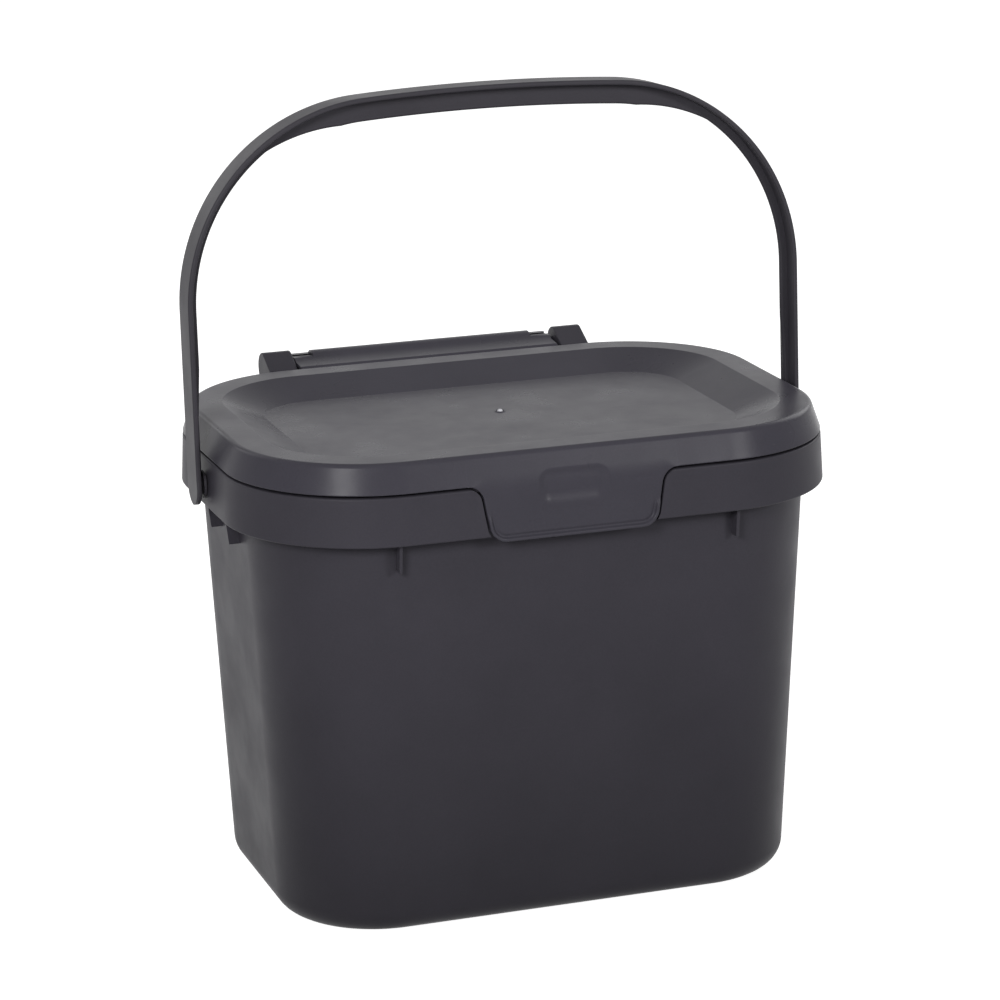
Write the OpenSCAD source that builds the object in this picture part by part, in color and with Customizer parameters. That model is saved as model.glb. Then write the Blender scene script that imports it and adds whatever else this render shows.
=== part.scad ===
// Compost caddy: a moulded tub, a lid that hinges at the back and a bail handle that swings.
// The origin is the centre of the base. X runs across, the front faces -Y and Z points up.
// Tub and lid are profiles of [reach, height] points, swept round one rounded rectangle.

/* [Tub] */
// Width over the rim skirt
rim_w = 245; // [225:1:265]
// Depth over the rim skirt
rim_d = 174; // [160:1:195]
// Corner radius of the rim skirt at its lower edge
rim_r = 58; // [52:0.5:62]
// Height of the rim's top face
rim_z = 180.35; // [150:0.05:210]
// Thickness of the tub's wall
tub_wall = 2; // [1.6:0.1:2.6]
// Thickness of the floor
floor_t = 2.8; // [2.2:0.1:3.4]
// How far the wall leans outwards from base to rim
wall_lean = 9; // [4:0.5:14]
// Radius of the rounding between wall and base
base_fillet = 12.4; // [8:0.1:16]
// Width of the flat foot ring inside that rounding
foot_w = 6; // [4:0.5:9]
// Width of the groove between foot ring and base panel
groove_w = 5; // [3:0.5:7]
// Depth of that groove
groove_deep = 1; // [0.5:0.1:1.4]

/* [Rim] */
// Height of the rim skirt
skirt_h = 19.05; // [16:0.05:24]
// How far the skirt leans outwards from its top to its lower edge
skirt_lean = 1; // [0.4:0.1:2]
// Thickness of the skirt and of the rim's top
rim_t = 1.8; // [1.5:0.1:2.2]
// Distance from the wall's outside to the skirt's outside, at the rim's top
rim_reach = 6.3; // [6:0.1:8]
// Rounding of the rim's and the lid's outer edges
edge_round = 0.6; // [0.3:0.1:0.8]

/* [Ribs under the rim] */
// Thickness of each rib
rib_t = 1.25; // [1:0.05:1.6]
// How far a rib stands out of the wall
rib_reach = 5.2; // [3.5:0.1:6]
// How far a rib hangs below the skirt
rib_drop = 11.6; // [6:0.1:16]
// Distance of the front ribs from the middle
rib_front_x = 68.4; // [50:0.2:74]
// Place of the rear rib on each side wall
rib_rear_y = 9; // [8.5:0.5:16]
// Place of the forward rib on each side wall
rib_fore_y = -18; // [-24:0.5:-9]

/* [Lid] */
// Height of the lid's edge above the seam
lid_h = 11.35; // [9.5:0.05:16]
// Thickness of the lid
lid_t = 2.2; // [2:0.1:2.6]
// Height of the open seam between rim and lid
seam = 1; // [0.4:0.1:1.2]
// How far the lid's edge leans inwards from the seam to its top
lid_lean = 4; // [2:0.5:6]
// Radius of the rounding at the lid's upper edge
lid_round = 2.4; // [1:0.1:3]
// Width of the flat ring on top
ring_w = 12.3; // [9:0.1:15]
// Depth of the panel below that ring
panel_drop = 6.9; // [4:0.1:7.5]
// Width of the slope from ring to panel
slope_w = 17; // [12:0.5:20]
// Thickness of the two rings under the lid
under_t = 1.6; // [1.4:0.1:2]
// How far the plug ring reaches down into the tub
plug_drop = 6.35; // [4:0.05:9]
// Gap between the plug ring and the tub's wall
plug_gap = 1; // [0.8:0.1:1.4]

/* [Front tab] */
// Thickness of the tab
tab_t = 1.9; // [1.6:0.1:2.5]
// Width of the tab at the seam
tab_w = 85; // [70:1:100]
// Width of the straight part of its lower edge
tab_foot_w = 54.6; // [46:0.2:58]
// Radius of the skirt's corner beside the tab
tab_neck_r = 6.5; // [5:0.1:7.5]
// Radius of the tab's lower corners
tab_foot_r = 7; // [5:0.1:8]
// How far the tab hangs below the skirt
tab_drop = 2.1; // [0:0.1:4]
// Gap between tab and skirt
tab_gap = 0.9; // [0.5:0.1:1.2]
// How far the tab's lip stands out
lip_out = 0.8; // [0.4:0.1:1.2]
// Width of that lip
lip_w = 1.3; // [0.8:0.1:2]
// Height to which the lip runs up the tab's sides
lip_h = 11; // [8:0.5:13]
// Width of the thumb recess
recess_w = 29.5; // [20:0.5:32]
// Height of the thumb recess
recess_h = 14.5; // [11:0.5:15]
// Height of the recess's upper edge above the seam
recess_up = 4.2; // [3:0.1:5]
// Depth of the recess at its upper and lower edge
recess_deep = 0.6; // [0.3:0.1:0.7]
// Corner radius of the recess
recess_r = 4.5; // [2:0.5:5]

/* [Hinge] */
// Distance from the rim skirt's upper edge back to the hinge axis
hinge_back = 14; // [13:0.1:16]
// Height of the hinge axis above the rim
hinge_up = 9.35; // [8.5:0.05:11]
// Distance from the middle to the inner face of each ear
ear_x = 58.3; // [50:0.1:60]
// Width of each ear
ear_w = 12.2; // [10:0.1:14]
// Radius of the ears round the hinge axis
ear_r = 6.7; // [6.2:0.1:7.5]
// Thickness of an ear's walls
ear_wall = 2.4; // [2:0.1:3]
// Gap between the lid's knuckle and each ear
ear_gap = 1.6; // [0.5:0.1:4]
// Outer radius of the lid's knuckle
knuckle_r = 6.1; // [5.4:0.1:6.2]
// Width of the opening in the knuckle's top at each of its ends
window_w = 8.5; // [5:0.5:12]
// Radius of the hinge pins
hinge_pin_r = 2.6; // [2:0.1:3]
// Running gap round the hinge pins and the handle's pins
pin_gap = 0.06; // [0.03:0.01:0.09]

/* [Handle] */
// Gap between each leg and the rim's widest place
leg_gap = 0.9; // [0.6:0.1:2]
// Depth of the pivot axis below the rim
pivot_down = 10.35; // [9.5:0.05:11]
// Radius of the handle's pins
pivot_r = 4; // [3:0.1:4.2]
// Width of the band
band_w = 15; // [12:0.5:16]
// Thickness of the band
band_t = 2; // [1.6:0.1:2.4]
// Thickness of the legs' round ends
boss_t = 3.8; // [3.4:0.1:4.6]
// Height of the straight legs above the pivot
leg_h = 68; // [55:1:90]
// Outer radius of the shoulders
shoulder_r = 79.2; // [60:0.2:90]
// Rise of the crown between the shoulders
crown_rise = 1.6; // [1:0.1:6]
// Depth of the crown with its middle web
crown_deep = 10; // [7:0.5:13]
// Depth of the legs with that web
leg_deep = 5; // [4.4:0.1:5.6]
// Thickness of the web
web_t = 2.4; // [1.8:0.1:3]
// Angle by which the standing handle leans back
lean = 2.6; // [0:0.1:4]

/* [Hidden] */

plastic = "#45434a";
lid_plastic = "#504e57";
// Overlap that fuses two shapes of one piece
bite = 0.4;
// Length by which a cut passes the face it opens
through = 5;
// Points on each large rounding, each small one and each barrel or shoulder
steps = 10;
round_steps = 6;
edge_steps = 3;
barrel_steps = 16;

// Half sizes of the rectangle that every outline is swept round
core_x = rim_w / 2 - rim_r;
core_y = rim_d / 2 - rim_r;

// Tub reaches, measured outwards from the core rectangle
rim_top_r = rim_r - skirt_lean;
wall_top_r = rim_top_r - rim_reach;
wall_base_r = wall_top_r - wall_lean;
wall_angle = atan(wall_lean / rim_z);
skirt_z = rim_z - skirt_h;

// Lid heights and reaches
seam_z = rim_z + seam;
ring_z = seam_z + lid_h;
panel_z = ring_z - panel_drop;
lid_angle = atan(lid_lean / lid_h);
ring_out_r = rim_top_r - lid_lean;
ring_in_r = ring_out_r - ring_w;
panel_r = ring_in_r - slope_w;
plug_r = wall_top_r - tub_wall - plug_gap;
// The seat ring stands this far outside the mouth's edge
seat_step = 0.7;
seat_r = wall_top_r - tub_wall + seat_step;

// Hinge and handle axes, as [y, z]
hinge = [core_y + rim_top_r + hinge_back, rim_z + hinge_up];
pivot_z = rim_z - pivot_down;
knuckle_x = ear_x - ear_gap;
leg_x = core_x + rim_r + leg_gap + boss_t;

// Front tab: the skirt's tilt, and the tab's own lengths down the skirt
skirt_tilt = atan(skirt_lean / skirt_h);
tab_h = seam + skirt_h + tab_drop;

$fn = 96;

// Reach of the wall's outside at height z
function wall_r(z) = wall_base_r + wall_lean * z / rim_z;

// Reach of the skirt's outside at height z
function skirt_r(z) = rim_top_r + skirt_lean * (rim_z - z) / skirt_h;

// Reach of the lid's edge at height z
function lid_r(z) = rim_top_r - lid_lean * (z - seam_z) / lid_h;

// Points on an arc about c, from angle a to angle b
function arc(c, r, a, b, n = steps) =
    [for (i = [0:n]) c + r * [cos(a + (b - a) * i / n), sin(a + (b - a) * i / n)]];

// Rounding between a floor at height z0 and a wall of reach r0 that leans outwards
function base_round(r0, z0, r) =
    arc([r0 + r * tan(wall_angle) - r / cos(wall_angle), z0 + r], r, -90, -wall_angle);

// The same on both sides of the middle line
function both_sides(half) = concat(half, [for (i = [len(half) - 1:-1:0]) [-half[i].x, half[i].y]]);

// Sweeps a profile round the core rectangle and fills the middle from z0 to z1
module sweep(profile, z0, z1) {
    for (i = [0:3]) {
        along = i % 2 == 0 ? core_y : core_x;
        across = i % 2 == 0 ? core_x : core_y;
        rotate([0, 0, 90 * i]) {
            translate([across, along, 0])
                rotate_extrude(angle = 90)
                    polygon(profile);
            translate([across, along, 0])
                rotate([90, 0, 0])
                    linear_extrude(2 * along)
                        polygon(profile);
        }
    }
    translate([-core_x, -core_y, z0])
        cube([2 * core_x, 2 * core_y, z1 - z0]);
}

// Prism of width w, centred on x = 0, from an outline in [y, z]
module yz_prism(outline, w) {
    translate([-w / 2, 0, 0])
        rotate([90, 0, 90])
            linear_extrude(w)
                polygon(outline);
}

// Cylinder along X from x0 to x1, about an axis at [y, z]
module x_rod(r, x0, x1, axis) {
    translate([x0, axis.x, axis.y])
        rotate([0, 90, 0])
            cylinder(r = r, h = x1 - x0);
}

// Repeats a shape on the other side of the middle
module mirrored() {
    children();
    mirror([1, 0, 0])
        children();
}

// ---- Tub ----

// Outer reach of the groove under the base
groove_r = wall_base_r - base_fillet - foot_w;

// Section through the wall and the hollow rim, from the base outwards and back inside
tub_profile = concat(
    [[0, 0],
     [groove_r - groove_w, 0],
     [groove_r - groove_w + groove_deep, groove_deep],
     [groove_r - groove_deep, groove_deep],
     [groove_r, 0]],
    base_round(wall_base_r, 0, base_fillet),
    [[wall_r(rim_z - rim_t), rim_z - rim_t],
     [rim_top_r - rim_t, rim_z - rim_t],
     [rim_r - rim_t, skirt_z],
     [rim_r - edge_round, skirt_z],
     [rim_r, skirt_z + edge_round]],
    arc([rim_top_r - edge_round, rim_z - edge_round], edge_round, 0, 90, edge_steps),
    arc([wall_top_r - tub_wall + edge_round, rim_z - edge_round], edge_round, 90, 180, edge_steps),
    [for (i = [steps:-1:0])
        base_round(wall_base_r - tub_wall, floor_t, base_fillet - tub_wall)[i]],
    [[0, floor_t]]);

// Rib between wall and skirt, as [reach, height]: it hangs below the skirt and has a blunt end,
// which keeps this share of its reach
blunt_share = 0.85;
rib_outline = [
    [wall_r(skirt_z - rib_drop) - tub_wall / 2, skirt_z - rib_drop],
    [wall_r(skirt_z - rib_drop) + blunt_share * rib_reach, skirt_z - rib_drop],
    [wall_r(skirt_z) + rib_reach, skirt_z + bite],
    [rim_r - rim_t / 2, skirt_z + bite],
    [rim_top_r - rim_t / 2, rim_z - rim_t / 2],
    [wall_r(rim_z) - tub_wall / 2, rim_z - rim_t / 2]];

// Rib that stands on a wall at distance x from its middle; back is the core's half depth there
module rib(x, back) {
    translate([x + rib_t / 2, -back, 0])
        rotate([90, 0, -90])
            linear_extrude(rib_t)
                polygon(rib_outline);
}

module ribs() {
    mirrored()
        rib(rib_front_x, core_y);
    mirrored()
        for (y = [rib_rear_y, rib_fore_y])
            rotate([0, 0, 90])
                rib(y, core_x);
}

// Length of an ear's brow in front of the hinge axis, and height of its front end above that axis
brow_l = 12;
brow_h = 1.2;
ear_front = hinge.x - brow_l;
// Bracket below the barrel: its reach behind the axis, and its foot's height and reach on the skirt
bracket_back = 4.5;
bracket_foot = [2, 2];
bracket_z = skirt_z + bracket_foot.y;

// Ear behind the rim: a barrel round the hinge axis with a sloping brow and a bracket below
ear_outline = concat(
    [[core_y + rim_top_r - bite, rim_z - edge_round],
     [ear_front, rim_z - edge_round],
     [ear_front, hinge.y + brow_h]],
    arc(hinge, ear_r, 103, -25, barrel_steps),
    [[hinge.x + bracket_back, rim_z],
     [core_y + rim_r + bracket_foot.x, bracket_z],
     [core_y + rim_r - bite, bracket_z]]);

// Hollow between the cheeks of an ear, open below, with its back wall inside the bracket's
hollow_back = bracket_back - 3.5;
ear_hollow = [
    [core_y + rim_r, skirt_z - through],
    [core_y + rim_r, rim_z - ear_wall],
    [ear_front + ear_wall, hinge.y - ear_r],
    [hinge.x + hollow_back, hinge.y - ear_r],
    [hinge.x + hollow_back, rim_z],
    [core_y + rim_r + hollow_back, skirt_z - through]];

module ear() {
    translate([ear_x + ear_w / 2, 0, 0])
        difference() {
            yz_prism(ear_outline, ear_w);
            yz_prism(ear_hollow, ear_w - 2 * ear_wall);
        }
}

// Pad inside the skirt that thickens the bearing of a handle pin
pad_t = 1.7;
pad_below_rim = 0.6;
pad_r = pivot_down - rim_t - pad_below_rim;
pad_in = core_x + rim_r - rim_t - pad_t;
pad_out = core_x + rim_top_r - rim_t / 2;

module pivot_pad() {
    x_rod(pad_r, pad_in, pad_out, [0, pivot_z]);
}

// ---- Front tab, drawn in the plane of the skirt: y = 0 is the seam ----

tab_neck = [tab_w / 2, -tab_neck_r];
tab_foot = [tab_foot_w / 2, tab_foot_r - tab_h];
// Direction of the straight side, which touches the neck's arc and the foot's arc
tab_side = atan2(tab_foot.y - tab_neck.y, tab_foot.x - tab_neck.x) + 360
    + asin((tab_neck_r + tab_foot_r) / norm(tab_foot - tab_neck));

// Outline of the tab, grown by g; the part above the seam is cut off later
function tab_outline(g) = both_sides(concat(
    [[tab_neck.x, 3 * seam]],
    arc(tab_neck, tab_neck_r - g, 90, tab_side - 90),
    arc(tab_foot, tab_foot_r + g, tab_side - 270, -90)));

// Prism on the skirt's plane, from depth inside to proud outside
module on_skirt(outline, inside, proud) {
    translate([0, -core_y - rim_top_r, seam_z])
        rotate([90 - skirt_tilt, 0, 0])
            translate([0, 0, -inside])
                linear_extrude(inside + proud)
                    polygon(outline);
}

// Everything below height z
module below(z) {
    translate([-rim_w, -rim_d, 0])
        cube([2 * rim_w, 2 * rim_d, z]);
}

// Opening in the rim that leaves room for the tab
module tab_notch() {
    on_skirt(tab_outline(tab_gap), lid_t + tab_gap, through);
}

module tub() {
    color(plastic)
        difference() {
            union() {
                sweep(tub_profile, 0, floor_t);
                ribs();
                mirrored() {
                    ear();
                    pivot_pad();
                }
            }
            tab_notch();
            mirrored() {
                x_rod(pivot_r + pin_gap, pad_in - bite, leg_x, [0, pivot_z]);
                x_rod(hinge_pin_r + pin_gap, ear_x - bite, ear_x + ear_w - ear_wall, hinge);
            }
        }
}

// ---- Lid ----

// Top of the groove between the lid's edge and its seat ring
groove_top_r = max(lid_r(ring_z) - lid_t, seat_r + under_t + bite);
groove_top_z = min(ring_z - lid_t, seam_z + lid_h * (rim_top_r - lid_t - groove_top_r) / lid_lean);
// Easing of the plug ring's lower edge
plug_ease = 0.5;
// Steepness of the slope between ring and panel
slope_angle = atan(panel_drop / slope_w);

// Upper side from the middle to the seam, then the underside with its two rings
lid_profile = concat(
    [[0, panel_z], [panel_r, panel_z], [ring_in_r, ring_z]],
    arc([lid_r(ring_z - lid_round) - lid_round / cos(lid_angle), ring_z - lid_round],
        lid_round, 90, lid_angle, round_steps),
    [[lid_r(seam_z), seam_z],
     [lid_r(seam_z) - lid_t, seam_z],
     [groove_top_r, groove_top_z],
     [seat_r + under_t, groove_top_z],
     [seat_r + under_t, rim_z],
     [seat_r, rim_z],
     [seat_r, ring_z - lid_t],
     [plug_r, ring_z - lid_t],
     [plug_r, rim_z - plug_drop + 2 * plug_ease],
     [plug_r - plug_ease, rim_z - plug_drop],
     [plug_r - under_t, rim_z - plug_drop],
     [plug_r - under_t, ring_z - lid_t],
     [ring_in_r + lid_t * tan(slope_angle / 2), ring_z - lid_t],
     [panel_r + lid_t * tan(slope_angle / 2), panel_z - lid_t],
     [0, panel_z - lid_t]]);

// The arm leaves the lid's edge near the axis' height, rises to a plate that is level with the ring
// and slopes up a little, and runs back to the knuckle. Points are [y, z]
arm_t = 2;
arm_rise = 0.3;
arm_edge = core_y + lid_r(hinge.y);
arm_top = core_y + rim_top_r;
arm_back = hinge.x - knuckle_r - 0.7;
arm_root = [arm_edge + 1, hinge.y + 1];
root_t = 2.6;

// Arm and the knuckle that curls over the hinge axis
arm_outline = concat(
    [[arm_edge - lid_t / 2, arm_root.y - 1.6],
     arm_root,
     [arm_top, ring_z - arm_rise],
     [arm_back, ring_z + arm_rise]],
    arc(hinge, knuckle_r, 120, -50, barrel_steps),
    arc(hinge, knuckle_r - arm_t, -50, 150, barrel_steps),
    [[arm_back, ring_z + arm_rise - arm_t],
     [arm_top + 1, ring_z - arm_rise - arm_t],
     [arm_root.x, arm_root.y - root_t]]);

// Thin webs that stiffen the arm, and the thicker ends that carry the pins
web_xs = [-0.5, 0, 0.5];
end_t = 3;
// Gap between a hinge pin's end and the bottom of its bore
pin_end = 1;
// Height above the hinge axis at which the knuckle's ends are cut off flat, which opens their hollow
window_z = 3.6;

module knuckle_web(x, t) {
    x_rod(knuckle_r - bite, x - t / 2, x + t / 2, hinge);
}

module hinge_arm() {
    difference() {
        union() {
            yz_prism(arm_outline, 2 * knuckle_x);
            mirrored()
                knuckle_web(knuckle_x - end_t / 2, end_t);
        }
        mirrored()
            translate([knuckle_x - window_w, hinge.x - 2 * knuckle_r, hinge.y + window_z])
                cube([window_w + through, 4 * knuckle_r, knuckle_r]);
    }
    for (share = web_xs)
        knuckle_web(share * knuckle_x, arm_t);
    mirrored()
        x_rod(hinge_pin_r, knuckle_x - bite, ear_x + ear_w - ear_wall - pin_end, hinge);
}

// Raised lip along the tab's lower edge
module tab_lip() {
    intersection() {
        difference() {
            on_skirt(tab_outline(0), bite, lip_out);
            on_skirt(tab_outline(-lip_w), lid_t, 2 * lip_out);
        }
        below(skirt_z - tab_drop + lip_h);
    }
}

module front_tab() {
    intersection() {
        on_skirt(tab_outline(0), tab_t, 0);
        below(seam_z);
    }
    tab_lip();
}

// Outline of a rectangle with round corners, centred on the origin
function rounded(w, h, r) = both_sides(concat(
    arc([w / 2 - r, h / 2 - r], r, 90, 0, round_steps),
    arc([w / 2 - r, r - h / 2], r, 0, -90, round_steps)));

// Thumb recess across the seam's height; its floor is equally deep at both edges
module thumb_recess() {
    top_z = seam_z + recess_up;
    low_z = top_z - recess_h;
    top_y = core_y + lid_r(top_z) - recess_deep;
    low_y = core_y + skirt_r(low_z) - recess_deep;
    translate([0, -(top_y + low_y) / 2, (top_z + low_z) / 2])
        rotate([90 - atan((low_y - top_y) / recess_h), 0, 0])
            linear_extrude(through)
                polygon(rounded(recess_w, recess_h, recess_r));
}

module lid() {
    color(lid_plastic)
        difference() {
            union() {
                sweep(lid_profile, panel_z - lid_t, panel_z);
                hinge_arm();
                front_tab();
            }
            thumb_recess();
        }
}

// ---- Handle, drawn standing with its pivot axis at the origin ----

shoulder_x = leg_x - shoulder_r;
crown_r = (pow(shoulder_x, 2) + pow(shoulder_r + crown_rise, 2) - pow(shoulder_r, 2)) / (2 * crown_rise);
crown_z = leg_h + shoulder_r + crown_rise - crown_r;
crown_angle = asin(shoulder_x / (crown_r - shoulder_r));

// Line of the handle at depth d below its outer face, from the right pivot over to the left one;
// the crown's points lie between the shoulders' last ones, evenly spaced
crown_steps = 6;
crown_inner = crown_angle * (1 - 2 / crown_steps);
function handle_line(d) = concat(
    [[leg_x - d, 0]],
    arc([shoulder_x, leg_h], shoulder_r - d, 0, 90 - crown_angle, barrel_steps),
    arc([0, crown_z], crown_r - d, 90 - crown_inner, 90 + crown_inner, crown_steps - 2),
    arc([-shoulder_x, leg_h], shoulder_r - d, 90 + crown_angle, 180, barrel_steps),
    [[d - leg_x, 0]]);

// Layer of the band between depths d0 and d1 and between y0 and y1 across it
module band_layer(d0, d1, y0, y1) {
    inner = handle_line(d1);
    translate([0, y1, 0])
        rotate([90, 0, 0])
            linear_extrude(y1 - y0)
                polygon(concat(handle_line(d0), [for (i = [len(inner) - 1:-1:0]) inner[i]]));
}

// Band with eased outer edges
ease = 0.7;

module band() {
    band_layer(0, ease + bite, ease - band_w / 2, band_w / 2 - ease);
    band_layer(ease, band_t, -band_w / 2, band_w / 2);
}

// Middle web along the band's inner side. On the legs it grows between these heights above the pivot,
// where it clears the rim as the handle swings, and on the shoulders between these angles
web_foot = [26, 46];
web_turn = [54, 79];
shoulder_end = 90 - crown_angle;

function web_depth(a) =
    leg_deep + (crown_deep - leg_deep) * min(1, max(0, (a - web_turn[0]) / (web_turn[1] - web_turn[0])));

web_line = both_sides(concat(
    [[leg_x - boss_t, 0], [leg_x - boss_t, web_foot[0]], [leg_x - leg_deep, web_foot[1]]],
    [for (i = [0:barrel_steps])
        let(a = i / barrel_steps * shoulder_end)
            [shoulder_x, leg_h] + (shoulder_r - web_depth(a)) * [cos(a), sin(a)]],
    [for (i = [1:crown_steps / 2 - 1])
        let(a = shoulder_end + i / (crown_steps / 2) * crown_angle)
            [0, crown_z] + (crown_r - crown_deep) * [cos(a), sin(a)]]));

module crown_web() {
    outer = handle_line(band_t / 2);
    translate([0, web_t / 2, 0])
        rotate([90, 0, 0])
            linear_extrude(web_t)
                polygon(concat(web_line, [for (i = [len(outer) - 1:-1:0]) outer[i]]));
}

// Round end of a leg with its spacer, pin and snap head, and their gaps to the rim
end_r = band_w / 2 + bite;
spacer_r = pivot_r + 1.5;
spacer_gap = 0.1;
head_r = pivot_r + 0.8;
head_t = 1.2;
head_gap = 0.3;

module leg_end() {
    leg_in = leg_x - boss_t;
    head_x = pad_in - head_gap;
    axis = [0, 0];
    x_rod(end_r, leg_in, leg_x, axis);
    x_rod(spacer_r, leg_in - leg_gap + spacer_gap, leg_in + bite, axis);
    x_rod(pivot_r, head_x - head_t, leg_in + bite, axis);
    x_rod(head_r, head_x - head_t, head_x, axis);
}

module handle() {
    color(plastic)
        translate([0, 0, pivot_z])
            rotate([-lean, 0, 0]) {
                band();
                crown_web();
                mirrored()
                    leg_end();
            }
}

tub();
lid();
handle();
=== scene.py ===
"""Looks of the compost caddy: three plastic mouldings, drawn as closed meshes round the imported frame.

Sizes are in millimetres and heights are measured from the base, as in the drawing of the part.
MM turns them into metres where a mesh is made. The front faces -Y. A reach is a distance outwards
from the core rectangle, which holds the centres of the tub's and the lid's round corners.
"""

import math

import bmesh
import bpy
import numpy as np
from mathutils import Matrix, Vector


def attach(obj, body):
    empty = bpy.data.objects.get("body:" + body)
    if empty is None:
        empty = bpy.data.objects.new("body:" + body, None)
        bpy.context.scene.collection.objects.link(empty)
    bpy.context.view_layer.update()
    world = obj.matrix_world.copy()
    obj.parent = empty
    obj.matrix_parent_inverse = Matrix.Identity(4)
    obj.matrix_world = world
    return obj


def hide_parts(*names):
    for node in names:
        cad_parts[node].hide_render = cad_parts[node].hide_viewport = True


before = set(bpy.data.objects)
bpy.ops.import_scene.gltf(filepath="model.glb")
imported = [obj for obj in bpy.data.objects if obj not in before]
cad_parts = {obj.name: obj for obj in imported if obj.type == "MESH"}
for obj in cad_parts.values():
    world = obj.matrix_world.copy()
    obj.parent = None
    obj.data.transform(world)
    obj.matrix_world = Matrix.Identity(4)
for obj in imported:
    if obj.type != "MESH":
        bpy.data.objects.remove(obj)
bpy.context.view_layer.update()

MM = 0.001

# ---- Sizes of the mouldings ----

# Rim: width, depth and corner radius at the skirt's foot, then the skirt and the hollow behind it
RIM_W, RIM_D, RIM_R = 245, 174, 58
RIM_Z = 180.35
RIM_T = 1.8
RIM_REACH = 6.3
SKIRT_H = 19.05
SKIRT_LEAN = 1

# Tub: its wall leans out on the way up, and it stands on a foot ring with a groove inside it
TUB_WALL = 2
WALL_LEAN = 9
FLOOR_T = 2.8
BASE_FILLET = 12.4
FOOT_W = 6
GROOVE_W, GROOVE_DEEP = 5, 1

CORE_X = RIM_W / 2 - RIM_R
CORE_Y = RIM_D / 2 - RIM_R
RIM_TOP_R = RIM_R - SKIRT_LEAN
WALL_TOP_R = RIM_TOP_R - RIM_REACH
WALL_BASE_R = WALL_TOP_R - WALL_LEAN
RIM_IN_R = WALL_TOP_R - TUB_WALL
SKIRT_Z = RIM_Z - SKIRT_H
SKIRT_TILT = math.atan(SKIRT_LEAN / SKIRT_H)
# Reach inside which the floor and the lid's panel are closed by one flat face
MIDDLE_R = 5

# Ribs under the rim: thickness, reach, share of it that is left at the foot, drop, and places
RIB_T, RIB_REACH, RIB_BLUNT, RIB_DROP = 1.25, 5.2, 0.85, 11.6
RIB_FRONT_X = 68.4
RIB_SIDE_Y = (9, -18)

# Lid: seam to the rim, then its edge's height, wall, lean and radius, the flat ring, the panel's drop and
# slope, and the thinner rings below, of which one plugs the tub and one is seated on the rim
SEAM = 1
LID_H = 11.35
LID_T = 2.2
LID_LEAN = 4
LID_ROUND = 2.4
RING_W = 12.3
PANEL_DROP = 6.9
SLOPE_W = 17
UNDER_T = 1.6
PLUG_DROP, PLUG_GAP = 6.35, 1
SEAT_OUT, SEAT_GAP, SEAT_STEP = 0.7, 0.02, 0.4

SEAM_Z = RIM_Z + SEAM
RING_Z = SEAM_Z + LID_H
PANEL_Z = RING_Z - PANEL_DROP
RING_IN_R = RIM_TOP_R - LID_LEAN - RING_W
PANEL_R = RING_IN_R - SLOPE_W
PLUG_R = RIM_IN_R - PLUG_GAP
SEAT_R = RIM_IN_R + SEAT_OUT

# Front tab, measured down the skirt from the seam
TAB_T = 1.9
TAB_W, TAB_FOOT_W = 85, 54.6
TAB_NECK_R, TAB_FOOT_R = 6.5, 7
TAB_DROP = 2.1
TAB_H = SEAM + SKIRT_H + TAB_DROP
TAB_GAP = 0.9
# Steps of its outline: round the neck, down the side and round the foot
NECK_STEPS, SIDE_STEPS, FOOT_STEPS = 14, 8, 18
# Lip along the tab's edge: how far it stands out, width, edge, and height up the sides with its fade
LIP_OUT, LIP_W, LIP_EDGE, LIP_H, LIP_FADE = 0.8, 1.4, 0.5, 11, 3
LIP_GROOVE, LIP_GROOVE_W = 0.45, 1.3
# Thumb recess: size, corner radius, top above the seam, depth and widths of its sloping border
RECESS_W, RECESS_H, RECESS_R, RECESS_UP = 29.5, 14.5, 5.5, 4.2
RECESS_DEEP, RECESS_SLOPE_TOP, RECESS_SLOPE_FOOT = 1, 2.6, 6
# How far the wall behind the recess bulges in
RECESS_BACK = 0.3

# Face of the lid and the tab: its top, its rounded edge, and the crease along the seam with its fade
FACE_TOP = 189.5
FACE_EDGE_R = 0.45
CREASE, CREASE_FADE = 1.2, 7
FACE_ROWS, FACE_COLUMNS = 14, 150
# Distances of the border's rings inside the tab's outline, close together where the edge and lip bend
BORDER = (0, 0.08, 0.18, 0.32, 0.5, 0.7, 0.9, 1.1, 1.3, 1.5, 1.75, 2, 2.3, 2.6, 2.9, 3.3)
# Place of the mould's gate on the panel
GATE = (2.4, 6.75)
GATE_STEPS = 32

# Hinge axis, as (y, z)
HINGE_BACK, HINGE_UP = 14, 9.35
HINGE = (CORE_Y + RIM_TOP_R + HINGE_BACK, RIM_Z + HINGE_UP)
# Ears: inner side, width, barrel's radius and wall, then how far each runs forwards and back from the axis,
# stands out at its foot, and is hollow behind the axis
EAR_X, EAR_W, EAR_R, EAR_WALL = 58.3, 12.2, 6.7, 2.4
EAR_RUN, EAR_BACK, EAR_FOOT, EAR_HOLLOW = 12, 4.5, 2, 1
# The brow's height above the axis, and the angles between which the barrel is round
BROW_UP, BROW_TURN, BARREL_TURN = 1.2, 103, -25
# Hinge pin: radius and gap at its end; and the radial gap of all pins
HINGE_PIN_R, HINGE_PIN_END = 2.6, 1
PIN_GAP = 0.06

# Knuckle: radius, wall, gap to the ears, width of the solid ends and of the webs, and its curl's angles
KNUCKLE_R, KNUCKLE_T, KNUCKLE_GAP = 6.1, 1.5, 1.6
KNUCKLE_X = EAR_X - KNUCKLE_GAP
KNUCKLE_END_W, KNUCKLE_WEB_W, KNUCKLE_SKIN = 3, 2, 0.4
CURL_TOP, CURL_END, CURL_INNER = 120, -50, 150
# The knuckle sits this far to the left in its play between the ears
HINGE_PLAY = 1.1
# Opening in the knuckle's top at each end: width, height above the axis, and extra depth in the solid end
WINDOW_W, WINDOW_Z, WINDOW_STEP = 8.5, 4.4, 0.6
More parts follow.
